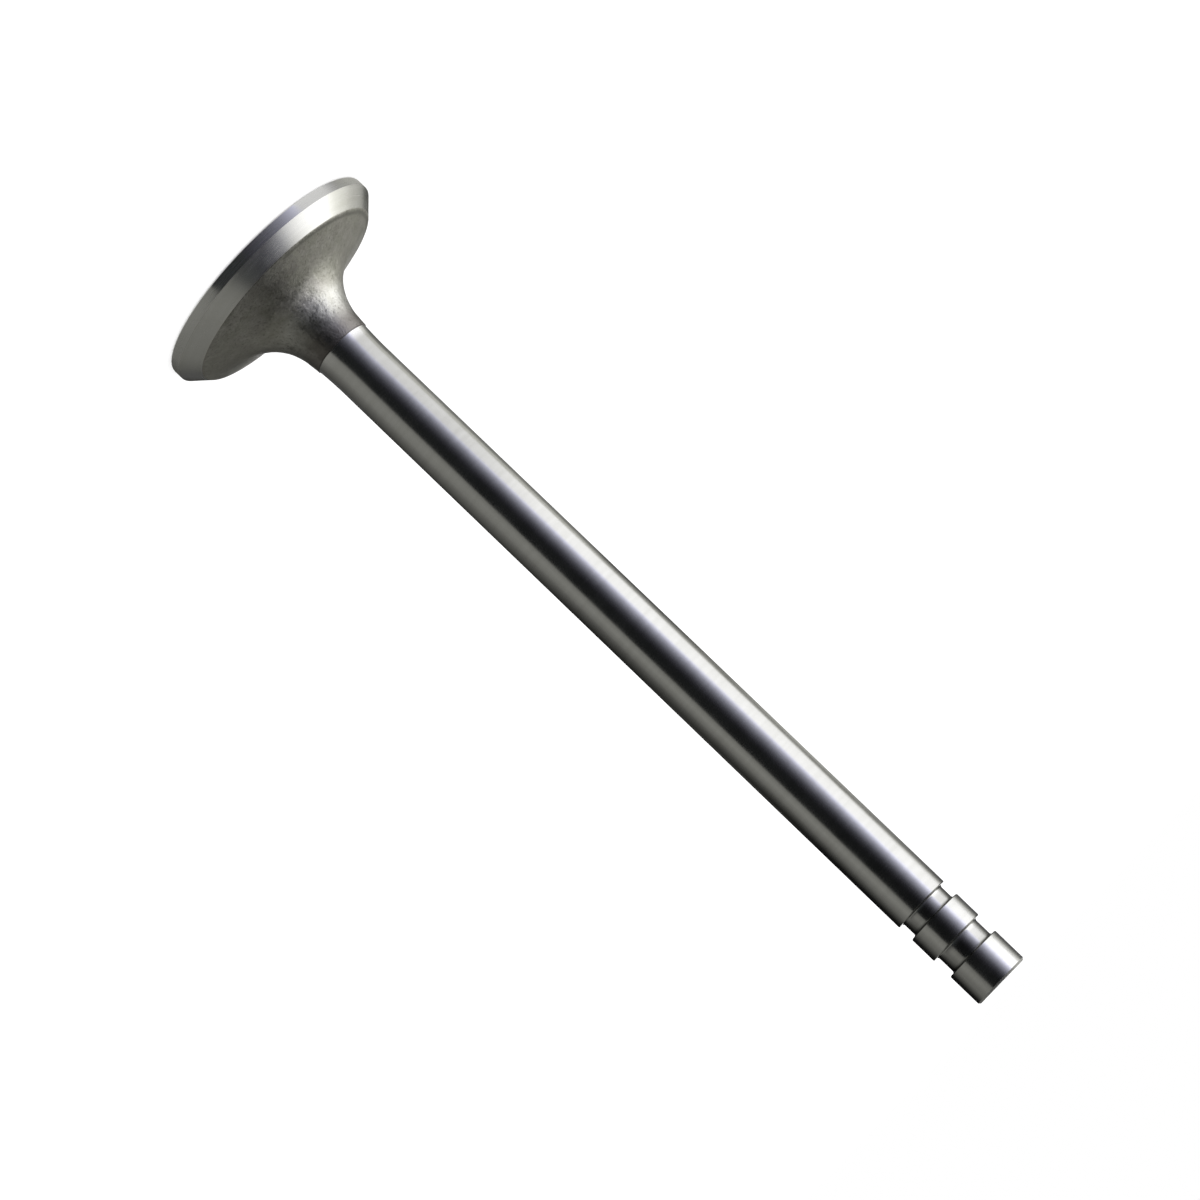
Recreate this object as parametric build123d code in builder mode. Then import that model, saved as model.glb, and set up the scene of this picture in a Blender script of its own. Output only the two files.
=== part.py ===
from build123d import *
from math import cos, sin, tan, asin, degrees, radians
import os

# Engine poppet valve, standing on its head: the combustion face lies on z = 0 and
# the stem rises along +Z. Sizes in millimetres, angles in degrees.

# Head
HEAD_DIAMETER = 38.1
FACE_EDGE_RADIUS = 0.4  # rounding between the combustion face and the margin
MARGIN_HEIGHT = 1.75  # from the combustion face up to the seat
SEAT_WIDTH = 2.35  # radial width of the ground seat
SEAT_ANGLE = 45
BACK_CORNER_RADIUS = 0.6  # rolls the end of the seat over onto the back
BACK_ANGLE = 17.4  # rise of the back above the radial plane

# Neck, as forged, up to the finish line
NECK_RADIUS = 9.1  # between the back and the neck
NECK_TAPER = 6.0  # lean of the neck where its two arcs meet
BLEND_RADIUS = 67.0  # long arc that brings the neck down to the stem
FINISH_LINE_HEIGHT = 15.7  # the ground stem starts here
FORGED_STEP = 0.12  # how far the forged neck stands proud of the ground stem

# Stem
STEM_DIAMETER = 8.97
OVERALL_LENGTH = 145.5
GROOVE_DEPTH = 0.8
LOWER_GROOVE_WIDTH = 2.4
GROOVE_SPACING = 4.25  # plain land between the two grooves
KEEPER_GROOVE_WIDTH = 3.1
TIP_LAND = 5.6  # from the keeper groove to the tip face
GROOVE_FLOOR_RADIUS = 0.35
GROOVE_EDGE_CHAMFER = 0.12
TIP_CHAMFER = 0.3

# Worked out from the sizes above
head_radius = HEAD_DIAMETER / 2
stem_radius = STEM_DIAMETER / 2
seat_height = SEAT_WIDTH * tan(radians(SEAT_ANGLE))
keeper_groove_top = OVERALL_LENGTH - TIP_LAND
keeper_groove_bottom = keeper_groove_top - KEEPER_GROOVE_WIDTH
lower_groove_top = keeper_groove_bottom - GROOVE_SPACING
lower_groove_bottom = lower_groove_top - LOWER_GROOVE_WIDTH

# Ends of the corner arc and of the neck arc, and the straight back between them
corner_radial = BACK_CORNER_RADIUS * (sin(radians(SEAT_ANGLE)) - sin(radians(BACK_ANGLE)))
corner_height = BACK_CORNER_RADIUS * (cos(radians(BACK_ANGLE)) - cos(radians(SEAT_ANGLE)))
back_start_radius = head_radius - SEAT_WIDTH - corner_radial
back_start_height = MARGIN_HEIGHT + seat_height + corner_height
neck_radial = NECK_RADIUS * (cos(radians(NECK_TAPER)) - sin(radians(BACK_ANGLE)))
neck_height = NECK_RADIUS * (cos(radians(BACK_ANGLE)) - sin(radians(NECK_TAPER)))
blend_radial = BLEND_RADIUS * (1 - cos(radians(NECK_TAPER)))
blend_height = BLEND_RADIUS * sin(radians(NECK_TAPER))
back_end_radius = stem_radius + blend_radial + FORGED_STEP + neck_radial
back_rise = (back_start_radius - back_end_radius) * tan(radians(BACK_ANGLE))

# The parallel stem starts where the long arc leaves it
stem_start = back_start_height + back_rise + neck_height + FORGED_STEP + blend_height
ground_turn = degrees(asin((stem_start - FINISH_LINE_HEIGHT) / BLEND_RADIUS))


def cut_groove(bottom, top):
    """Outline of one ring groove, from below it to above it."""
    floor = stem_radius - GROOVE_DEPTH
    edge = GROOVE_EDGE_CHAMFER
    low_floor = bottom + GROOVE_FLOOR_RADIUS
    high_floor = top - GROOVE_FLOOR_RADIUS
    low_wall = floor + GROOVE_FLOOR_RADIUS
    Polyline((stem_radius, bottom - edge), (stem_radius - edge, bottom), (low_wall, bottom))
    RadiusArc((low_wall, bottom), (floor, low_floor), GROOVE_FLOOR_RADIUS)
    Line((floor, low_floor), (floor, high_floor))
    RadiusArc((floor, high_floor), (low_wall, top), GROOVE_FLOOR_RADIUS)
    Polyline((low_wall, top), (stem_radius - edge, top), (stem_radius, top + edge))


with BuildPart() as valve:
    with BuildSketch(Plane.XZ) as half_section:
        with BuildLine() as outline:
            # Combustion face, its rounded edge, the margin and the seat
            face = Line((0, 0), (head_radius - FACE_EDGE_RADIUS, 0))
            face_edge = JernArc(face @ 1, face % 1, FACE_EDGE_RADIUS, 90)
            margin = Line(face_edge @ 1, (head_radius, MARGIN_HEIGHT))
            seat = Line(margin @ 1, margin @ 1 + Vector(-SEAT_WIDTH, seat_height))
            # Back and neck, as forged
            corner = JernArc(seat @ 1, seat % 1, BACK_CORNER_RADIUS, SEAT_ANGLE - BACK_ANGLE)
            back = Line(corner @ 1, corner @ 1 + Vector(back_end_radius - back_start_radius, back_rise))
            neck = JernArc(back @ 1, back % 1, NECK_RADIUS, BACK_ANGLE + NECK_TAPER - 90)
            forged_blend = JernArc(neck @ 1, neck % 1, BLEND_RADIUS, ground_turn - NECK_TAPER)
            # Finish line: a small bevel down onto the ground stem
            step = Line(forged_blend @ 1, forged_blend @ 1 + Vector(-FORGED_STEP, FORGED_STEP))
            ground_blend = JernArc(step @ 1, forged_blend % 1, BLEND_RADIUS, -ground_turn)
            # Stem with its two grooves, and the tip
            Line(ground_blend @ 1, (stem_radius, lower_groove_bottom - GROOVE_EDGE_CHAMFER))
            cut_groove(lower_groove_bottom, lower_groove_top)
            Line(
                (stem_radius, lower_groove_top + GROOVE_EDGE_CHAMFER),
                (stem_radius, keeper_groove_bottom - GROOVE_EDGE_CHAMFER),
            )
            cut_groove(keeper_groove_bottom, keeper_groove_top)
            Polyline(
                (stem_radius, keeper_groove_top + GROOVE_EDGE_CHAMFER),
                (stem_radius, OVERALL_LENGTH - TIP_CHAMFER),
                (stem_radius - TIP_CHAMFER, OVERALL_LENGTH),
                (0, OVERALL_LENGTH),
                (0, 0),
            )
        make_face()
    revolve(axis=Axis.Z)

valve.part.label = "valve"
os.makedirs("parts", exist_ok=True)
export_step(valve.part, "parts/valve.step")
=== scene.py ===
import math
from collections import namedtuple

import bpy
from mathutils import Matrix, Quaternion, Vector, noise


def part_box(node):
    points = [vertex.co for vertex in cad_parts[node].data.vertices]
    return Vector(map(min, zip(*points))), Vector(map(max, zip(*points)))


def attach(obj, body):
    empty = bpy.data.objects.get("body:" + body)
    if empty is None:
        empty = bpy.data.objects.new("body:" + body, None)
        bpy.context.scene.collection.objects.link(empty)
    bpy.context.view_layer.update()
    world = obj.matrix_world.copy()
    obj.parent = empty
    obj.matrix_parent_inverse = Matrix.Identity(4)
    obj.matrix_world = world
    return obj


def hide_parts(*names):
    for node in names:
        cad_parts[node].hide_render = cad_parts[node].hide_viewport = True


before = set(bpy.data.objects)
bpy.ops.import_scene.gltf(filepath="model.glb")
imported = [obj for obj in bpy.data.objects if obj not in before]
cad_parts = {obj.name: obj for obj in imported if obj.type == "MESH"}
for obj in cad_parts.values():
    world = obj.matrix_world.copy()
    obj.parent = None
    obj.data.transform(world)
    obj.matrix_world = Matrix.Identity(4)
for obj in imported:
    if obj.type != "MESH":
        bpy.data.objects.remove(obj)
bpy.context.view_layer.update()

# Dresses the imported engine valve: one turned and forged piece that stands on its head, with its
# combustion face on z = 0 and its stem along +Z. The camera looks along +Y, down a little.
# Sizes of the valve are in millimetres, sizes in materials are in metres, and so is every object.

MM = 0.001

# -------------------------------------------------------------------------------------------------
# Sizes of the valve, as in the part's source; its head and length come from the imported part
# -------------------------------------------------------------------------------------------------
_, valve_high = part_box("valve")
HEAD_RADIUS = valve_high.x / MM
OVERALL_LENGTH = valve_high.z / MM

FACE_EDGE_RADIUS = 0.4
MARGIN_HEIGHT = 1.75
SEAT_WIDTH = 2.35
SEAT_ANGLE = 45.0
BACK_CORNER_RADIUS = 0.6
BACK_ANGLE = 17.4

NECK_RADIUS = 9.1
NECK_TAPER = 6.0
BLEND_RADIUS = 67.0
FINISH_LINE_HEIGHT = 15.7
FORGED_STEP = 0.12  # how far the forged skin stands over the ground stem

STEM_RADIUS = 8.97 / 2
GROOVE_DEPTH = 0.8
LOWER_GROOVE_WIDTH = 2.4
GROOVE_SPACING = 4.25
KEEPER_GROOVE_WIDTH = 3.1
TIP_LAND = 5.6
GROOVE_FLOOR_RADIUS = 0.35
GROOVE_EDGE_CHAMFER = 0.12
TIP_CHAMFER = 0.3

# How finely the valve is turned: facets round it, and the distance between rings
SEGMENTS = 400
FACE_RINGS = 0.6
MARGIN_RINGS = 0.3
SEAT_RINGS = 0.3
BACK_CORNER_RINGS = 0.08
FORGED_RINGS = 0.2
STEM_BLEND_RINGS = 0.5
STEM_RINGS = 3.0
GROOVE_RINGS = 0.6
TIP_LAND_RINGS = 2.0
TIP_CHAMFER_RINGS = 0.1
TIP_RINGS = 0.5
SMALL_ARC_RINGS = 15.0  # degrees between rings round a small fillet
SAME_RING = 1e-4  # rings nearer than this are one
ON_AXIS = 1e-6
SHARP_ANGLE = 28.0  # degrees between faces from which their edge is sharp

# Relief left by forging and shot blasting: (size of the lumps, height)
FORGED_RELIEF = ((4.5, 0.045), (1.4, 0.016), (0.6, 0.010))
RELIEF_FADE = 0.6  # the relief dies away this near to a machined surface

# The finish line wavers a little up and down
WAVER_HEIGHT = 0.07
WAVER_REACH = 1.2  # rings this near to the finish line follow it
WAVER_SIZE = 2.2

ZONES = ("face", "margin", "seat", "forged", "ground", "groove", "tip")


# -------------------------------------------------------------------------------------------------
# The half section, traced as rings from the middle of the combustion face to the tip
# -------------------------------------------------------------------------------------------------
Ring = namedtuple("Ring", "point normal zone")  # the point is (radius, height)


class HalfSection:
    """Traces the valve's outline as rings."""

    def __init__(self):
        self.at = Vector((0.0, 0.0))
        self.heading = 0.0
        self.rings = []

    def _ring(self, point, heading, zone):
        normal = Vector((math.sin(heading), -math.cos(heading)))
        self.rings.append(Ring(Vector(point), normal, zone))

    def line_to(self, radius, height, zone, step=None):
        """A straight run, with rings about a step apart."""
        start, end = self.at, Vector((radius, height))
        run = end - start
        self.heading = math.atan2(run.y, run.x)
        count = 1 if step is None else max(1, round(run.length / step))
        for i in range(count + 1):
            self._ring(start + run * (i / count), self.heading, zone)
        self.at = end

    def line_by(self, radial, height, zone, step=None):
        self.line_to(self.at.x + radial, self.at.y + height, zone, step)

    def arc(self, radius, turn, zone, step=None):
        """An arc that goes on from the heading; a turn to the left is positive, in degrees."""
        side = math.copysign(1.0, turn)
        sweep = math.radians(turn)
        across = Vector((-math.sin(self.heading), math.cos(self.heading))) * radius * side
        centre = self.at + across
        if step is None:
            count = max(2, math.ceil(abs(turn) / SMALL_ARC_RINGS))
        else:
            count = max(2, round(abs(sweep) * radius / step))
        for i in range(count + 1):
            heading = self.heading + sweep * i / count
            out = Vector((math.sin(heading), -math.cos(heading))) * radius * side
            self._ring(centre + out, heading, zone)
        self.heading += sweep
        self.at = self.rings[-1].point.copy()


def half_section():
    """The valve's outline, with the same runs and arcs as its solid."""
    s = HalfSection()
    taper, back_angle = math.radians(NECK_TAPER), math.radians(BACK_ANGLE)
    neck_radial = NECK_RADIUS * (math.cos(taper) - math.sin(back_angle))
    blend_radial = BLEND_RADIUS * (1 - math.cos(taper))
    back_end_radius = STEM_RADIUS + blend_radial + FORGED_STEP + neck_radial

    # Head
    seat_rise = SEAT_WIDTH * math.tan(math.radians(SEAT_ANGLE))
    s.line_to(HEAD_RADIUS - FACE_EDGE_RADIUS, 0, "face", FACE_RINGS)
    s.arc(FACE_EDGE_RADIUS, 90, "margin")
    s.line_to(HEAD_RADIUS, MARGIN_HEIGHT, "margin", MARGIN_RINGS)
    s.line_by(-SEAT_WIDTH, seat_rise, "seat", SEAT_RINGS)

    # Forged back and neck, up to the small bevel at the finish line
    s.arc(BACK_CORNER_RADIUS, SEAT_ANGLE - BACK_ANGLE, "forged", BACK_CORNER_RINGS)
    back = s.at.x - back_end_radius
    s.line_by(-back, back * math.tan(back_angle), "forged", FORGED_RINGS)
    s.arc(NECK_RADIUS, BACK_ANGLE + NECK_TAPER - 90, "forged", FORGED_RINGS)
    stem_start = s.at.y + BLEND_RADIUS * math.sin(taper) + FORGED_STEP
    ground_turn = math.degrees(math.asin((stem_start - FINISH_LINE_HEIGHT) / BLEND_RADIUS))
    s.arc(BLEND_RADIUS, ground_turn - NECK_TAPER, "forged", FORGED_RINGS)
    lean = s.heading
    s.line_by(-FORGED_STEP, FORGED_STEP, "forged")

    # Ground stem with its two grooves, and the tip
    s.heading = lean
    s.arc(BLEND_RADIUS, -ground_turn, "ground", STEM_BLEND_RINGS)
    lower_top, keeper_top = groove_tops()
    trace_groove(s, lower_top - LOWER_GROOVE_WIDTH, lower_top)
    trace_groove(s, keeper_top - KEEPER_GROOVE_WIDTH, keeper_top)
    s.line_to(STEM_RADIUS, OVERALL_LENGTH - TIP_CHAMFER, "ground", TIP_LAND_RINGS)
    s.line_by(-TIP_CHAMFER, TIP_CHAMFER, "tip", TIP_CHAMFER_RINGS)
    s.line_to(0, OVERALL_LENGTH, "tip", TIP_RINGS)
    return s.rings


def groove_tops():
    """The heights of the grooves' walls on the tip's side, the lower groove first."""
    keeper_top = OVERALL_LENGTH - TIP_LAND
    return keeper_top - KEEPER_GROOVE_WIDTH - GROOVE_SPACING, keeper_top


def trace_groove(s, bottom, top):
    """The stem up to a ring groove, and the groove."""
    edge = GROOVE_EDGE_CHAMFER
    low_wall = STEM_RADIUS - GROOVE_DEPTH + GROOVE_FLOOR_RADIUS
    s.line_to(STEM_RADIUS, bottom - edge, "ground", STEM_RINGS)
    s.line_to(STEM_RADIUS - edge, bottom, "groove")
    s.line_to(low_wall, bottom, "groove")
    s.arc(GROOVE_FLOOR_RADIUS, -90, "groove")
    s.line_by(0, top - bottom - 2 * GROOVE_FLOOR_RADIUS, "groove", GROOVE_RINGS)
    s.arc(GROOVE_FLOOR_RADIUS, -90, "groove")
    s.line_to(STEM_RADIUS - edge, top, "groove")
    s.line_to(STEM_RADIUS, top + edge, "groove")


# -------------------------------------------------------------------------------------------------
# The valve's mesh
# -------------------------------------------------------------------------------------------------
def smooth_step(x):
    x = min(1.0, max(0.0, x))
    return x * x * (3 - 2 * x)


def forged_relief(point):
    """Height of the forged skin over its nominal form at a point, in millimetres."""
    return sum(height * noise.noise(point / size) for size, height in FORGED_RELIEF)


def merge_rings(rings):
    """Rings without the doubles where two runs meet; the later run's zone is kept."""
    kept = [rings[0]]
    for ring in rings[1:]:
        if (ring.point - kept[-1].point).length > SAME_RING:
            kept.append(ring)
        else:
            kept[-1] = kept[-1]._replace(zone=ring.zone)
    return kept


def relief_shares(rings):
    """How much of the forged relief each ring has: none on machined surfaces, all inside."""
    lengths = [0.0]
    for before, after in zip(rings, rings[1:]):
        lengths.append(lengths[-1] + (after.point - before.point).length)
    forged_at = [i for i, ring in enumerate(rings) if ring.zone == "forged"]
    start, end = lengths[forged_at[0]], lengths[forged_at[-1]]
    return [smooth_step(min(length - start, end - length) / RELIEF_FADE) for length in lengths]


def turn_ring(ring, relief, circle):
    """The vertices of one ring, with its share of the relief and of the finish line's waver."""
    point, normal = ring.point, ring.normal
    if point.x < ON_AXIS:
        return [(0.0, 0.0, point.y * MM)]
    near_line = smooth_step(1 - abs(point.y - FINISH_LINE_HEIGHT) / WAVER_REACH)
    waver = WAVER_HEIGHT * near_line
    verts = []
    for x, y in circle:
        place = Vector((point.x * x, point.x * y, point.y))
        out = relief * forged_relief(place) if relief else 0.0
        up = waver * noise.noise(place / WAVER_SIZE) if waver else 0.0
        radius = point.x + normal.x * out
        height = point.y + normal.y * out + up
        verts.append((radius * x * MM, radius * y * MM, height * MM))
    return verts


def turn_rings(rings):
    """The vertices and faces of the turned form, with the zone of each face."""
    rings = merge_rings(rings)
    turns = [2 * math.pi * i / SEGMENTS for i in range(SEGMENTS)]
    circle = [(math.sin(a), -math.cos(a)) for a in turns]
    verts, starts = [], []
    for ring, relief in zip(rings, relief_shares(rings)):
        starts.append(len(verts))
        verts.extend(turn_ring(ring, relief, circle))

    faces, zones = [], []
    for ring, above, low, high in zip(rings, rings[1:], starts, starts[1:]):
        zone = ZONES.index(ring.zone)
        for k in range(SEGMENTS):
            n = (k + 1) % SEGMENTS
            if ring.point.x < ON_AXIS:
                faces.append((low, high + n, high + k))
            elif above.point.x < ON_AXIS:
                faces.append((low + k, low + n, high))
            else:
                faces.append((low + k, low + n, high + n, high + k))
            zones.append(zone)
    return verts, faces, zones


def build_valve(materials):
    verts, faces, zones = turn_rings(half_section())
    mesh = bpy.data.meshes.new("valve_turned")
    mesh.from_pydata(verts, [], faces)
    for zone in ZONES:
        mesh.materials.append(materials[zone])
    mesh.polygons.foreach_set("material_index", zones)
    mesh.polygons.foreach_set("use_smooth", [True] * len(faces))
    mesh.set_sharp_from_angle(angle=math.radians(SHARP_ANGLE))
    mesh.update()
    obj = bpy.data.objects.new("valve_turned", mesh)
    bpy.context.scene.collection.objects.link(obj)
    return obj


# -------------------------------------------------------------------------------------------------
# Node trees
# -------------------------------------------------------------------------------------------------
Place = namedtuple("Place", "point x y radius height")


class Nodes:
    """A short way to write a material's or a world's node tree."""

    def __init__(self, owner):
        owner.use_nodes = True
        self.tree = owner.node_tree
        self.tree.nodes.clear()
        self.kind = "World" if isinstance(owner, bpy.types.World) else "Material"

    def add(self, kind, **settings):
        node = self.tree.nodes.new(kind)
        for name, value in settings.items():
            setattr(node, name, value)
        return node

    def put(self, value, socket):
        """Links an output to a socket, or sets the socket's own value."""
        if isinstance(value, bpy.types.NodeSocket):
            self.tree.links.new(value, socket)
        else:
            socket.default_value = value

    def surface(self, shader):
        """Makes a shader's output the surface of the material or the world."""
        self.put(shader, self.add(f"ShaderNodeOutput{self.kind}").inputs["Surface"])

    def math(self, operation, a, b=0.0):
        node = self.add("ShaderNodeMath", operation=operation)
        self.put(a, node.inputs[0])
        self.put(b, node.inputs[1])
        return node.outputs[0]

    def product(self, first, *others):
        for other in others:
            first = self.math("MULTIPLY", first, other)
        return first

    def weighted(self, *terms):
        """The sum of the terms, each a value and its weight."""
        first, *others = (self.math("MULTIPLY", value, weight) for value, weight in terms)
        for other in others:
            first = self.math("ADD", first, other)
        return first

    def ramp(self, value, low, high, at_low, at_high, smooth=False):
        """Goes from one level to another as a value goes from low to high."""
        node = self.add("ShaderNodeMapRange")
        node.interpolation_type = "SMOOTHSTEP" if smooth else "LINEAR"
        self.put(value, node.inputs["Value"])
        self.put(low, node.inputs["From Min"])
        self.put(high, node.inputs["From Max"])
        self.put(at_low, node.inputs["To Min"])
        self.put(at_high, node.inputs["To Max"])
        return node.outputs["Result"]

    def mix(self, share, a, b):
        """Mixes two colours."""
        node = self.add("ShaderNodeMix", data_type="RGBA")
        self.put(share, node.inputs["Factor"])
        self.put(a, node.inputs[6])
        self.put(b, node.inputs[7])
        return node.outputs[2]

    def noise(self, vector, size, detail, rough=0.5):
        """Noise with lumps of about a size."""
        node = self.add("ShaderNodeTexNoise")
        self.put(vector, node.inputs["Vector"])
        node.inputs["Scale"].default_value = 1 / size
        node.inputs["Detail"].default_value = detail
        node.inputs["Roughness"].default_value = rough
        return node.outputs["Fac"]

    def bump(self, height, distance, normal=None):
        node = self.add("ShaderNodeBump")
        node.inputs["Strength"].default_value = 1.0
        node.inputs["Distance"].default_value = distance
        self.put(height, node.inputs["Height"])
        if normal is not None:
            self.put(normal, node.inputs["Normal"])
        return node.outputs["Normal"]

    def place(self):
        """The point in the row frame, in metres, with its radius from the axis and its height."""
        point = self.add("ShaderNodeTexCoord").outputs["Object"]
        split = self.add("ShaderNodeSeparateXYZ")
        self.put(point, split.inputs[0])
        x, y, z = split.outputs
        square = self.math("ADD", self.math("MULTIPLY", x, x), self.math("MULTIPLY", y, y))
        return Place(point, x, y, self.math("SQRT", square), z)

    def lathe_marks(self, at, pitch, reach, detail):
        """Noise in rings round the axis, as a wheel or a tool leaves: pitch is from ring to ring,
        and reach is along them."""
        rings = self.add("ShaderNodeCombineXYZ")
        self.put(self.math("MULTIPLY", at.radius, 1 / pitch), rings.inputs[0])
        self.put(self.math("MULTIPLY", at.height, 1 / pitch), rings.inputs[1])
        drift = self.add("ShaderNodeVectorMath", operation="MULTIPLY")
        self.put(at.point, drift.inputs[0])
        drift.inputs[1].default_value = (1 / reach, 1 / reach, 0)
        total = self.add("ShaderNodeVectorMath", operation="ADD")
        self.put(rings.outputs[0], total.inputs[0])
        self.put(drift.outputs[0], total.inputs[1])
        return self.noise(total.outputs[0], 1.0, detail)


def grey(level, warmth=0.0):
    """A steel grey; warmth above 0 takes some blue out."""
    return (level, level * (1 - 0.1 * warmth), level * (1 - warmth), 1.0)


# -------------------------------------------------------------------------------------------------
# Machined steel
# -------------------------------------------------------------------------------------------------
BROAD_PITCH = 9  # pitch, reach and depth of the broad marks, in those of the fine ones
BROAD_REACH = 2
BROAD_DEPTH = 2.2
PATCH_SIZE = 0.004
PATCH_ROUGH = 0.68
TONE_SPREAD = (0.36, 0.64)  # the noise at which the steel is darkest and lightest
WEAR_SPREAD = (0.35, 0.65)  # the noise at which it is smoothest and roughest
TONE_DARK = 0.95  # levels of the darkest and the lightest tone, in the steel's own
TONE_LIGHT = 1.04
DARK_WARMTH = 1.6  # warmth of the darkest tone, in the steel's own
# Painted shade in the corners of the grooves, at their tip-side walls
CORNER_SHADE_COLOUR = grey(0.06, 0.1)
CORNER_SHADE_END = (0.0001, 0.0002)  # above the height that the painted shade is darkest at

# Painted highlight: the ground stem is painted lightest on its -X side just above the finish line,
# and hardly elsewhere
PAINTED_HIGHLIGHT_SIDE = (-0.0027, -0.0012)
PAINTED_HIGHLIGHT_ELSEWHERE = 0.12


def machined(name, level, roughness, pitch, depth, reach, anisotropy=0.5, warmth=0.02, corner_shade=(),
             side_highlight=None):
    """Bare steel that a wheel or a tool has cut in rings: level is its reflectance, and roughness
    is (low, high). Painted shade in corners lies darkest at the heights listed for it and dies
    away
    below them: (height, reach below it, darkness). A painted highlight on the -X side starts at a
    height and dies away above it: (height, reach, reflectance)."""
    material = bpy.data.materials.new(name)
    n = Nodes(material)
    shader = n.add("ShaderNodeBsdfPrincipled")
    at = n.place()
    marks = n.lathe_marks(at, pitch, reach, 3.0)
    broad = n.lathe_marks(at, pitch * BROAD_PITCH, reach * BROAD_REACH, 2.0)
    patches = n.noise(at.point, PATCH_SIZE, 5.0, PATCH_ROUGH)

    tone = n.ramp(n.weighted((broad, 0.55), (patches, 0.45)), *TONE_SPREAD, 0.0, 1.0)
    dark = grey(level * TONE_DARK, warmth * DARK_WARMTH)
    colour = n.mix(tone, dark, grey(level * TONE_LIGHT, warmth))
    # Painted shade, darkest at each listed height and dying away below it
    for top, below, darkness in corner_shade:
        rise = n.ramp(at.height, top - below, top, 0.0, darkness, smooth=True)
        fall = n.ramp(at.height, top + CORNER_SHADE_END[0], top + CORNER_SHADE_END[1], 1.0, 0.0)
        colour = n.mix(n.product(rise, fall), colour, CORNER_SHADE_COLOUR)
    # Painted highlight, lightest on the -X side just above its start height
    if side_highlight:
        start, above, bright = side_highlight
        fade = n.ramp(at.height, start, start + above, 1.0, 0.0, smooth=True)
        side = n.ramp(at.x, *PAINTED_HIGHLIGHT_SIDE, 1.0, PAINTED_HIGHLIGHT_ELSEWHERE, smooth=True)
        colour = n.mix(n.product(fade, side), colour, grey(bright))
    n.put(colour, shader.inputs["Base Color"])

    shader.inputs["Metallic"].default_value = 1.0
    wear = n.weighted((marks, 0.5), (patches, 0.5))
    n.put(n.ramp(wear, *WEAR_SPREAD, *roughness), shader.inputs["Roughness"])
    shader.inputs["Anisotropic"].default_value = anisotropy
    tangent = n.add("ShaderNodeTangent", direction_type="RADIAL", axis="Z")
    n.put(tangent.outputs[0], shader.inputs["Tangent"])
    under = n.bump(broad, depth * BROAD_DEPTH)
    n.put(n.bump(marks, depth, under), shader.inputs["Normal"])
    n.surface(shader.outputs[0])
    return material


# -------------------------------------------------------------------------------------------------
# Forged steel
# -------------------------------------------------------------------------------------------------
CLOUD_SIZE = 0.0045
CAST_SIZE = 0.0028
MOTTLE_SIZE = 0.0012
GRAIN_SIZE = 0.00038
MOTTLE_DEPTH = 0.00005
GRAIN_DEPTH = 0.00004
SKIN_SPREAD = (0.38, 0.62)  # the noise at which the skin is darkest and lightest
CAST_SPREAD = (0.40, 0.60)  # the noise at which its ruddy cast is least and most
SKIN_ROUGHNESS = (0.32, 0.48)

# Each from the dark to the light mottle
DULL = (grey(0.29, 0.15), grey(0.46, 0.10))
RUDDY = ((0.30, 0.282, 0.270, 1.0), (0.47, 0.448, 0.432, 1.0))
CLEAN = (grey(0.33, 0.11), grey(0.58, 0.065))
RUDDY_SHARE = 0.4
CLEAN_HEIGHTS = (0.0078, 0.0100)  # the skin is dull below these and clean above

# How far the noise makes the edges of the patches ragged
RAGGED_HEIGHT = 0.0012
RAGGED_RADIUS_GRAIN = 0.0007
RAGGED_RADIUS_MOTTLE = 0.0006
RAGGED_COSINE = 0.12

FINISH_LINE = FINISH_LINE_HEIGHT * MM
# Painted shade on the neck lies towards this azimuth
SHADE_PATCH_AZIMUTH = 28  # 0 is towards the camera, and 90 is +X
# A painted dark reflection down the back lies towards this azimuth
DARK_REFLECTION_AZIMUTH = -4
# A painted highlight low on the neck lies towards this azimuth
HIGHLIGHT_TONGUE_AZIMUTH = -6

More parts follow.
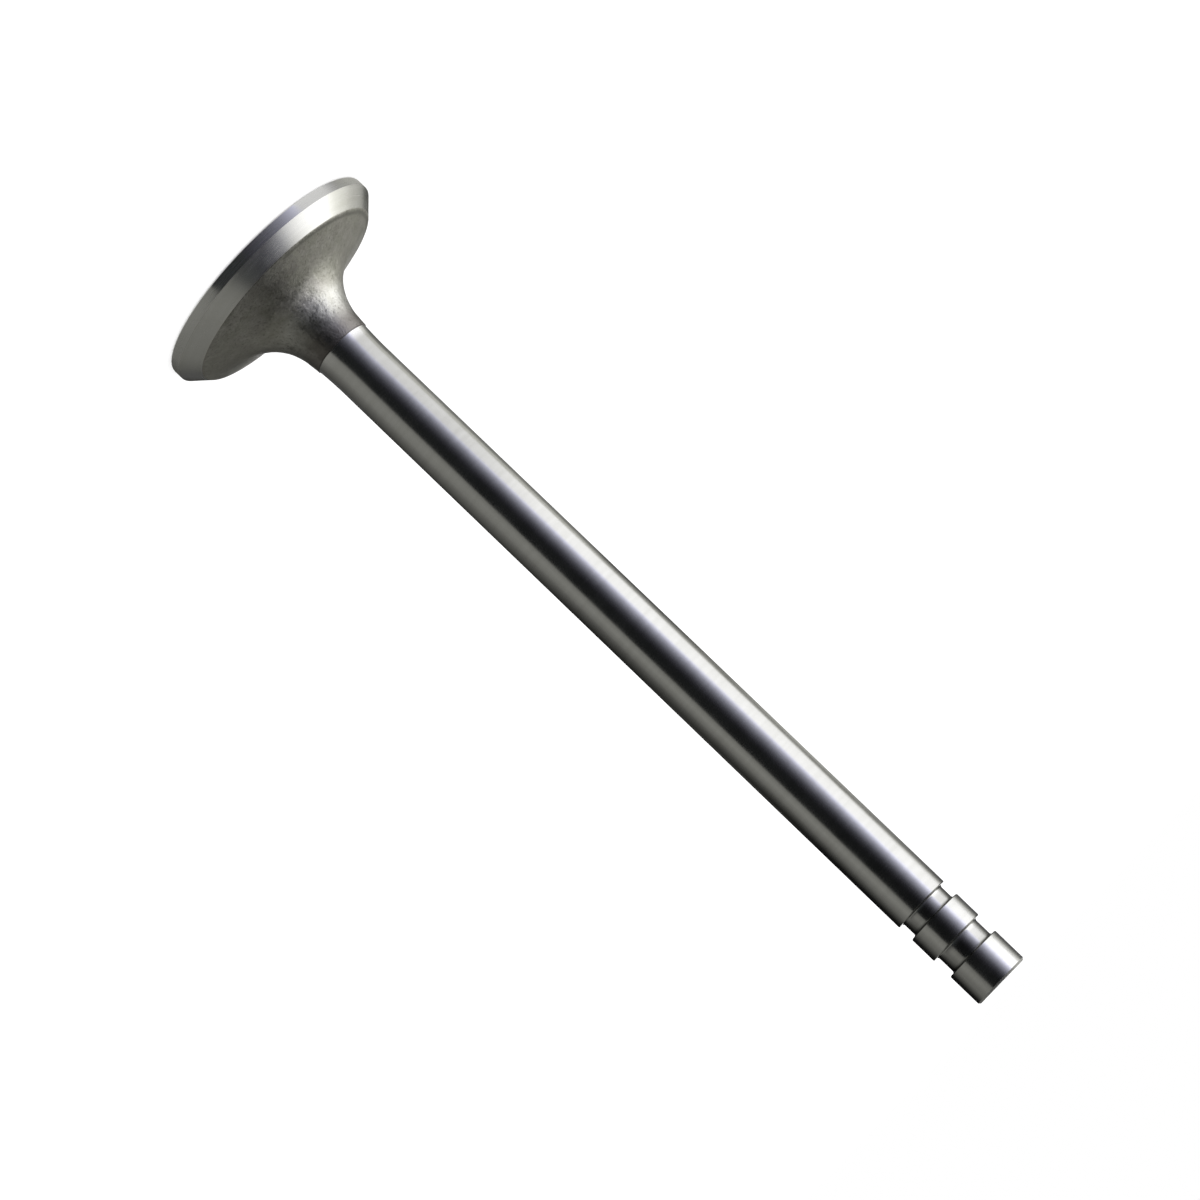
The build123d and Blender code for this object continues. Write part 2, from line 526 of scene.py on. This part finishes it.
# What lies over the skin, in order. A patch has its colour and the shares that its own is the
# product of. A share goes from one level to another over a span of what it goes by: a place, the
# grain, or the cosine of the angle to an azimuth, given in degrees.
Share = namedtuple("Share", "by span levels smooth", defaults=(True,))
Patch = namedtuple("Patch", "colour shares")
PATCHES = (
    # Painted highlight: a lighter flank of the neck, on its -X side
    Patch(grey(0.80, 0.03), (
        Share("x", (-0.0054, -0.0036), (0.50, 0.0)),
        Share("height", (0.0088, 0.0104), (0.0, 1.0)))),
    # Burnt towards the finish line
    Patch((0.262, 0.246, 0.236, 1.0), (
        Share("ragged height", (0.0116, 0.0150), (0.0, 0.90)),)),
    # The dark lip of the finish line
    Patch((0.090, 0.080, 0.085, 1.0), (
        Share("height", (FINISH_LINE - 0.00020, FINISH_LINE - 0.00008), (0.0, 0.8), False),)),
    # A darker ring just inside the seat, strongest on the -X side
    Patch(grey(0.13, 0.10), (
        Share("ragged radius", (0.01630, 0.01660), (0.0, 1.0), False),
        Share("ragged radius", (0.01690, 0.01715), (1.0, 0.0), False),
        Share("x", (-0.006, 0.004), (0.55, 0.0)))),
    # Painted shade: the darkest patch of the neck, on its side towards +X
    Patch((0.066, 0.060, 0.051, 1.0), (
        Share(SHADE_PATCH_AZIMUTH, (0.92, 1.0), (0.0, 0.62)),
        Share("height", (0.0095, 0.0135), (0.0, 1.0)))),
    # Painted reflection of the neck: a darker streak down the back
    Patch((0.105, 0.100, 0.092, 1.0), (
        Share(DARK_REFLECTION_AZIMUTH, (0.955, 0.997), (0.0, 0.42)),
        Share("radius", (0.0098, 0.0120), (0.0, 1.0)))),
    # Painted highlight: a light tongue low on the neck
    Patch((0.86, 0.83, 0.78, 1.0), (
        Share("radius", (0.0058, 0.0066), (0.0, 1.0)),
        Share("radius", (0.0076, 0.0088), (1.0, 0.0)),
        Share(HIGHLIGHT_TONGUE_AZIMUTH, (0.95, 0.998), (0.0, 0.50)))),
    # Pits
    Patch(grey(0.12, 0.15), (
        Share("grain", (0.30, 0.42), (0.5, 0.0), False),)),
)


def towards(n, at, mottle, azimuth):
    """The cosine of the angle to an azimuth, made ragged by the mottle."""
    a = math.radians(azimuth)
    along = n.weighted((at.x, math.sin(a)), (at.y, -math.cos(a)))
    cosine = n.math("DIVIDE", along, at.radius)
    ragged = n.math("MULTIPLY", n.math("SUBTRACT", mottle, 0.5), RAGGED_COSINE)
    return n.math("ADD", cosine, ragged)


def forged(name):
    """Forged and blasted steel: dull, mottled and a little olive, cleanest in the neck's curve,
    with its patches over it, some of which are painted highlights, painted shade and a painted
    reflection."""
    material = bpy.data.materials.new(name)
    n = Nodes(material)
    shader = n.add("ShaderNodeBsdfPrincipled")
    at = n.place()
    clouds = n.noise(at.point, CLOUD_SIZE, 3.0, 0.6)
    mottle = n.noise(at.point, MOTTLE_SIZE, 3.0, 0.65)
    grain = n.noise(at.point, GRAIN_SIZE, 3.0, 0.6)
    cast = n.ramp(n.noise(at.point, CAST_SIZE, 2.0, 0.6), *CAST_SPREAD, 0.0, 1.0)

    tone = n.weighted((clouds, 0.3), (mottle, 0.4), (grain, 0.3))
    tone = n.ramp(tone, *SKIN_SPREAD, 0.0, 1.0)
    dull = n.mix(n.product(cast, RUDDY_SHARE), n.mix(tone, *DULL), n.mix(tone, *RUDDY))
    clean_share = n.ramp(at.height, *CLEAN_HEIGHTS, 0.0, 1.0, smooth=True)
    colour = n.mix(clean_share, dull, n.mix(tone, *CLEAN))

    ragged = n.weighted((grain, RAGGED_RADIUS_GRAIN), (mottle, RAGGED_RADIUS_MOTTLE))
    fields = {
        "x": at.x,
        "radius": at.radius,
        "height": at.height,
        "grain": grain,
        "ragged radius": n.math("ADD", at.radius, ragged),
        "ragged height": n.math("ADD", at.height, n.product(mottle, RAGGED_HEIGHT)),
    }
    for patch in PATCHES:
        shares = []
        for share in patch.shares:
            by = fields[share.by] if share.by in fields else towards(n, at, mottle, share.by)
            shares.append(n.ramp(by, *share.span, *share.levels, share.smooth))
        colour = n.mix(n.product(*shares), colour, patch.colour)
    n.put(colour, shader.inputs["Base Color"])

    shader.inputs["Metallic"].default_value = 1.0
    wear = n.weighted((mottle, 0.6), (grain, 0.4))
    n.put(n.ramp(wear, *WEAR_SPREAD, *SKIN_ROUGHNESS), shader.inputs["Roughness"])
    fine = n.bump(grain, GRAIN_DEPTH)
    n.put(n.bump(mottle, MOTTLE_DEPTH, fine), shader.inputs["Normal"])
    n.surface(shader.outputs[0])
    return material


MATERIALS = {
    "face": machined("steel_turned_face", level=0.55, roughness=(0.26, 0.40), pitch=0.00022,
                     depth=0.0000035, reach=0.03),
    "margin": machined("steel_turned_margin", level=0.56, roughness=(0.24, 0.34), pitch=0.00016,
                       depth=0.000002, reach=0.02),
    "seat": machined("steel_ground_seat", level=0.57, roughness=(0.17, 0.28), pitch=0.00012,
                     depth=0.0000018, reach=0.01, warmth=0.03),
    "forged": forged("steel_forged"),
    "ground": machined("steel_ground_stem", level=0.57, roughness=(0.15, 0.23), pitch=0.00010,
                       depth=0.0000010, reach=0.008, anisotropy=0.3,
                       # painted highlight on the stem's -X side just above the finish line
                       side_highlight=(FINISH_LINE, 0.0018, 0.98)),
    "groove": machined("steel_turned_groove", level=0.47, roughness=(0.15, 0.22), pitch=0.00012,
                       depth=0.0000012, reach=0.010, anisotropy=0.3,
                       # painted shade in each groove's corner at its tip-side wall
                       corner_shade=[(top * MM, 0.00055, 0.75) for top in groove_tops()]),
    "tip": machined("steel_ground_tip", level=0.58, roughness=(0.32, 0.44), pitch=0.00014,
                    depth=0.0000020, reach=0.010),
}

valve = build_valve(MATERIALS)
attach(valve, "root")
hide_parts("valve")


# -------------------------------------------------------------------------------------------------
# Studio: a white floor in a white room, with cards round the valve as for any polished metal.
# Azimuth 0 is the camera's side (-Y), and 90 is +X. Only gloss sees the cards.
# -------------------------------------------------------------------------------------------------
SURROUND_RADIUS = 0.40
SURROUND_HEIGHT = 0.07  # of the middle of the surround
NEAR_RADIUS = 0.05  # of the ring of cards close round the valve
CARD_LIFT = 0.00005  # floor cards lie this far above the floor
STRIP_INSET = 0.97  # of the strips from the surround
COLUMN_STEP = 3  # degrees between a card's columns


def compass(azimuth):
    a = math.radians(azimuth)
    return Vector((math.sin(a), -math.cos(a), 0.0))


def wall_point(azimuth, elevation):
    """A point of the surround; it meets the floor below."""
    e = math.radians(elevation)
    point = compass(azimuth) * (SURROUND_RADIUS * math.cos(e))
    point.z = SURROUND_HEIGHT + SURROUND_RADIUS * math.sin(e)
    return point


def floor_point(azimuth, distance):
    """A point on the floor, so many millimetres towards an azimuth from the part of the head that
    mirrors it."""
    point = compass(azimuth / 2) * (HEAD_RADIUS * MM) + compass(azimuth) * (distance * MM)
    point.z = CARD_LIFT
    return point


def wall_strip_point(azimuth, elevation):
    """A point just inside the surround."""
    return wall_point(azimuth, elevation) * STRIP_INSET


def floor_strip_point(azimuth, distance):
    """A point just over the floor's cards, so many millimetres from the axis."""
    point = compass(azimuth) * (distance * MM)
    point.z = 2 * CARD_LIFT
    return point


def near_point(azimuth, height):
    """A point of the ring close round the valve, at a height in millimetres."""
    point = compass(azimuth) * NEAR_RADIUS
    point.z = height * MM
    return point


def card_material():
    """Gives out the light that the card's own colour attribute says; its alpha is how solid the
    card is there."""
    material = bpy.data.materials.new("studio_card")
    n = Nodes(material)
    glow = n.add("ShaderNodeVertexColor", layer_name="glow")
    light = n.add("ShaderNodeEmission")
    n.put(glow.outputs["Color"], light.inputs["Color"])
    blend = n.add("ShaderNodeMixShader")
    n.put(glow.outputs["Alpha"], blend.inputs[0])
    n.put(n.add("ShaderNodeBsdfTransparent").outputs[0], blend.inputs[1])
    n.put(light.outputs[0], blend.inputs[2])
    n.surface(blend.outputs[0])
    return material


CARD_MATERIAL = card_material()
NEUTRAL = (1.0, 1.0, 1.0)
COOL = (0.96, 0.97, 1.19)
WARM = (1.01, 1.01, 0.94)
INKY = (0.94, 1.02, 1.05)


def card(name, place, azimuths, rows, tint=NEUTRAL):
    """A card between two azimuths. Each row is where it lies, and (glow, solidity) at its two
    sides."""
    start, end = azimuths
    columns = max(2, round(abs(end - start) / COLUMN_STEP)) + 1
    verts, faces, colours = [], [], []
    for span, (side_from, side_to) in rows:
        for i in range(columns):
            t = i / (columns - 1)
            verts.append(place(start + (end - start) * t, span))
            level = side_from[0] ** (1 - t) * side_to[0] ** t
            solid = side_from[1] * (1 - t) + side_to[1] * t
            colours.extend((level * tint[0], level * tint[1], level * tint[2], solid))
    for j in range(len(rows) - 1):
        for i in range(columns - 1):
            a = j * columns + i
            faces.append((a, a + 1, a + columns + 1, a + columns))
    mesh = bpy.data.meshes.new(name)
    mesh.from_pydata(verts, [], faces)
    attribute = mesh.color_attributes.new("glow", "FLOAT_COLOR", "POINT")
    attribute.data.foreach_set("color", colours)
    mesh.materials.append(CARD_MATERIAL)
    obj = bpy.data.objects.new(name, mesh)
    obj.visible_camera = False
    obj.visible_diffuse = False
    obj.visible_shadow = False
    bpy.context.scene.collection.objects.link(obj)
    return obj


def glowing(rows):
    """Rows of glow alone, for a card that is solid all over."""
    return [(span, tuple((glow, 1.0) for glow in pair)) for span, pair in rows.items()]


def fading(glow, rows):
    """Rows of solidity alone, for a card with one glow."""
    return [(span, tuple((glow, solid) for solid in pair)) for span, pair in rows.items()]


# Each card's name, azimuths and tint, then its glow at its two sides: on the wall by elevation in
# degrees, and on the floor by distance from the head in millimetres
CARDS = (
    ("softbox_side", (-114, -98), NEUTRAL,
     {-12: (1.50, 1.545), 8: (1.50, 1.545), 18: (3.00, 3.00), 24: (3.00, 3.00),
      34: (2.40, 2.40), 52: (1.75, 1.75), 58: (1.10, 1.10), 64: (0.55, 0.55)},
     {0: (0.48, 1.08), 4: (0.48, 1.08), 6.4: (0.40, 1.08), 9.5: (0.46, 1.08),
      12: (1.08, 1.08), 200: (1.08, 1.08), 270: (1.55, 1.55), 420: (1.65, 1.65)}),
    ("softbox", (-98, -62), NEUTRAL,
     {-12: (1.545, 1.65), 8: (1.545, 1.65), 18: (3.00, 3.00), 24: (3.00, 3.00),
      34: (2.40, 2.40), 52: (1.75, 1.75), 58: (1.10, 1.10), 64: (0.55, 0.55)},
     {0: (1.08, 1.08), 130: (1.08, 0.98), 200: (1.08, 0.98), 270: (1.55, 1.55),
      420: (1.65, 1.65)}),
    ("softbox_fade", (-62, -30), COOL,
     {-12: (1.55, 0.19), 2: (1.55, 0.19), 5: (2.00, 0.22), 11: (2.00, 0.22),
      16: (1.20, 0.15), 46: (1.20, 0.15), 58: (0.55, 0.08), 64: (0.30, 0.05)},
     {0: (1.05, 0.20), 60: (1.05, 0.18), 100: (1.05, 0.135), 150: (1.00, 0.14),
      200: (1.00, 0.17), 270: (1.55, 0.20), 420: (1.65, 0.20)}),
    ("softbox_falloff", (-30, 0), COOL,
     {-12: (0.19, 0.012), 2: (0.19, 0.012), 5: (0.19, 0.005), 11: (0.19, 0.005),
      17: (0.15, 0.035), 46: (0.15, 0.035), 64: (0.10, 0.03)},
     {0: (0.20, 0.045), 8: (0.20, 0.045), 50: (0.18, 0.018), 100: (0.135, 0.015),
      150: (0.14, 0.014), 200: (0.17, 0.013), 420: (0.19, 0.012)}),
    ("black_flag", (0, 39), INKY,
     {-12: (0.012, 0.012), 2: (0.012, 0.012), 5: (0.004, 0.007), 11: (0.004, 0.007),
      17: (0.04, 0.05), 64: (0.04, 0.05)},
     {0: (0.045, 0.040), 8: (0.045, 0.040), 50: (0.016, 0.014), 420: (0.012, 0.012)}),
    ("grey_card_rise", (39, 60), WARM,
     {-12: (0.25, 0.325), 2: (0.25, 0.325), 11: (0.25, 0.325), 15: (0.085, 0.11),
      30: (0.09, 0.128), 50: (0.24, 0.26), 64: (0.26, 0.286)},
     {0: (0.255, 0.30), 420: (0.255, 0.31)}),
    ("grey_card", (60, 88), WARM,
     {-12: (0.325, 0.185), 2: (0.325, 0.185), 11: (0.325, 0.185), 15: (0.11, 0.15),
      30: (0.128, 0.20), 50: (0.26, 0.28), 64: (0.286, 0.32)},
     {0: (0.30, 0.28), 130: (0.30, 0.27), 420: (0.31, 0.24)}),
    ("grey_card_fade", (88, 136), WARM,
     {-12: (0.155, 0.03), 2: (0.155, 0.03), 15: (0.25, 0.22), 64: (0.27, 0.24)},
     {0: (0.27, 0.22), 8: (0.27, 0.22), 50: (0.26, 0.10), 250: (0.24, 0.09),
      420: (0.20, 0.05)}),
    ("rear_dark", (136, 180), WARM,
     {-12: (0.02, 0.02), -6: (0.02, 0.02), 0: (0.08, 0.08), 6: (0.15, 0.15),
      14: (0.19, 0.20), 40: (0.19, 0.17), 46: (0.17, 0.12), 58: (0.10, 0.07),
      64: (0.08, 0.06)},
     {0: (0.17, 0.06), 8: (0.17, 0.06), 30: (0.10, 0.03), 420: (0.05, 0.03)}),
    ("rear_rise", (-180, -170), WARM,
     {-12: (0.03, 0.045), -6: (0.03, 0.045), 0: (0.17, 0.45), 30: (0.15, 0.50),
      40: (0.15, 0.50), 46: (0.12, 0.36), 64: (0.07, 0.11)},
     {0: (0.50, 0.53), 6.5: (0.50, 0.53), 8: (0.008, 0.02), 60: (0.008, 0.02),
      90: (0.15, 0.18), 420: (0.18, 0.20)}),
    ("rear_grey", (-170, -136), WARM,
     {-12: (0.045, 0.18), -6: (0.045, 0.18), 0: (0.45, 0.66), 30: (0.50, 0.66),
      40: (0.50, 0.66), 46: (0.36, 0.60), 64: (0.11, 0.30)},
     {0: (0.53, 0.62), 6.5: (0.53, 0.62), 8: (0.02, 0.45), 60: (0.02, 0.40),
      90: (0.18, 0.31), 420: (0.20, 0.31)}),
    ("softbox_edge", (-136, -114), WARM,
     {-12: (0.20, 0.85), 2: (0.20, 0.85), 12: (0.85, 2.20), 18: (0.85, 2.20),
      28: (0.70, 1.70), 46: (0.80, 1.90), 58: (0.50, 0.80), 64: (0.25, 0.45)},
     {0: (0.60, 0.48), 4: (0.60, 0.48), 6.4: (0.50, 0.40), 9.5: (0.56, 0.46),
      12: (0.60, 0.80), 420: (0.60, 0.80)}),
)
# The ceiling card and every wall card's top have one glow, and meet at an elevation
CEILING_GLOW = (0.05, 0.05)
CEILING_EDGE = 84
CEILING = {CEILING_EDGE: CEILING_GLOW, 90: CEILING_GLOW}
CARD_CROWN = {73: CEILING_GLOW, CEILING_EDGE: CEILING_GLOW}

# A narrow strip of light straight behind the valve, for the views from the side and the back, by
# elevation on the wall and by distance from the axis on the floor
STRIP_GLOW = (0.5, 0.5)
STRIP_WALL = {-12: STRIP_GLOW, -6: STRIP_GLOW}
STRIP_FLOOR = {70: STRIP_GLOW, 400: STRIP_GLOW}
STRIPS = (("strip_right", (173, 180)), ("strip_left", (-180, -173)))

# Cards close round the valve: two dark flags and two light strips beside the upper stem, and a
# faint fill beside the head. Each has its azimuths and its glow, then its solidity at its two
# sides by height in millimetres.
CLEAR = (0, 0)
SOLID = (1, 1)
NEAR_CARDS = (
    ("flag_right_edge", (88, 126), 0.006, {82: CLEAR, 112: (0, 1), 165: (0, 1)}),
    ("flag_right", (126, 169), 0.006, {82: CLEAR, 112: SOLID, 165: SOLID}),
    ("strip_right", (170, 180), 1.4, {80: CLEAR, 112: SOLID, 165: SOLID}),
    ("strip_left", (-180, -170), 1.4, {80: CLEAR, 112: SOLID, 165: SOLID}),
    ("flag_left", (-169, -138), 0.11, {95: CLEAR, 128: SOLID, 165: SOLID}),
    ("flag_left_edge", (-138, -100), 0.11, {95: CLEAR, 126: (1, 0), 137: (1, 0.3), 165: (1, 0.5)}),
    ("fill_low_right", (132, 154), 0.10, {2: SOLID, 11: SOLID, 16: CLEAR}),
)

cards = [card("card_ceiling", wall_point, (-180, 180), glowing(CEILING))]
for name, azimuths, tint, wall, ground in CARDS:
    cards.append(card(f"wall_{name}", wall_point, azimuths, glowing(wall | CARD_CROWN), tint))
    cards.append(card(f"floor_{name}", floor_point, azimuths, glowing(ground), tint))
for name, azimuths in STRIPS:
    cards.append(card(f"wall_{name}", wall_strip_point, azimuths, glowing(STRIP_WALL)))
    cards.append(card(f"floor_{name}", floor_strip_point, azimuths, glowing(STRIP_FLOOR)))
for name, azimuths, glow, rows in NEAR_CARDS:
    cards.append(card(name, near_point, azimuths, fading(glow, rows)))


FLOOR_SIZE = 40.0
FLOOR_DROP = 0.00002  # below the valve's face
FLOOR_COLOUR = (0.80, 0.80, 0.80, 1.0)
FLOOR_FILL = 0.45  # with the room's light it makes the open floor just white, and keeps the shadow


def white_share(n):
    """1 for the rays that show the plain white background: to the camera, in gloss and through
    glass."""
    path = n.add("ShaderNodeLightPath")
    share = n.math("MAXIMUM", path.outputs["Is Camera Ray"], path.outputs["Is Glossy Ray"])
    return n.math("MAXIMUM", share, path.outputs["Is Transmission Ray"])


def build_floor():
    material = bpy.data.materials.new("studio_floor")
    n = Nodes(material)
    paper = n.add("ShaderNodeBsdfDiffuse")
    paper.inputs["Color"].default_value = FLOOR_COLOUR
    fill = n.add("ShaderNodeEmission")
    n.put(n.math("MULTIPLY", white_share(n), FLOOR_FILL), fill.inputs["Strength"])
    both = n.add("ShaderNodeAddShader")
    n.put(paper.outputs[0], both.inputs[0])
    n.put(fill.outputs[0], both.inputs[1])
    n.surface(both.outputs[0])

    h = FLOOR_SIZE / 2
    mesh = bpy.data.meshes.new("studio_floor")
    mesh.from_pydata([(-h, -h, 0), (h, -h, 0), (h, h, 0), (-h, h, 0)], [], [(0, 1, 2, 3)])
    mesh.materials.append(material)
    obj = bpy.data.objects.new("studio_floor", mesh)
    obj.location.z = -FLOOR_DROP
    bpy.context.scene.collection.objects.link(obj)
    return obj


def build_room():
    """A plain white world of strength 1."""
    world = bpy.data.worlds.new("white_room")
    n = Nodes(world)
    sky = n.add("ShaderNodeBackground")
    sky.inputs["Color"].default_value = (1, 1, 1, 1)
    sky.inputs["Strength"].default_value = 1.0
    n.surface(sky.outputs[0])
    world.cycles.sampling_method = "NONE"
    bpy.context.scene.world = world


floor = build_floor()
build_room()

# -------------------------------------------------------------------------------------------------
# Camera, as the photograph was taken: level with the tip, and rolled so the stem runs down right
# -------------------------------------------------------------------------------------------------
CAMERA_LENS = 120.0
CAMERA_SENSOR = 36.0
CAMERA_CLIP = (0.01, 50.0)
CAMERA_PLACE = Vector((0.0, -559.810, 150.830)) * MM
CAMERA_AIM = Vector((0.418, 0.0, 67.796)) * MM
CAMERA_ROLL = math.radians(133.831)


def build_camera():
    data = bpy.data.cameras.new("camera")
    data.lens = CAMERA_LENS
    data.sensor_width = CAMERA_SENSOR
    data.clip_start, data.clip_end = CAMERA_CLIP
    camera = bpy.data.objects.new("camera", data)
    camera.location = CAMERA_PLACE
    camera.rotation_mode = "QUATERNION"
    unrolled = (CAMERA_AIM - CAMERA_PLACE).to_track_quat("-Z", "Y")
    camera.rotation_quaternion = unrolled @ Quaternion((0, 0, 1), CAMERA_ROLL)
    bpy.context.scene.collection.objects.link(camera)
    return camera


bpy.context.scene.camera = build_camera()
bpy.context.scene.view_settings.view_transform = "Standard"
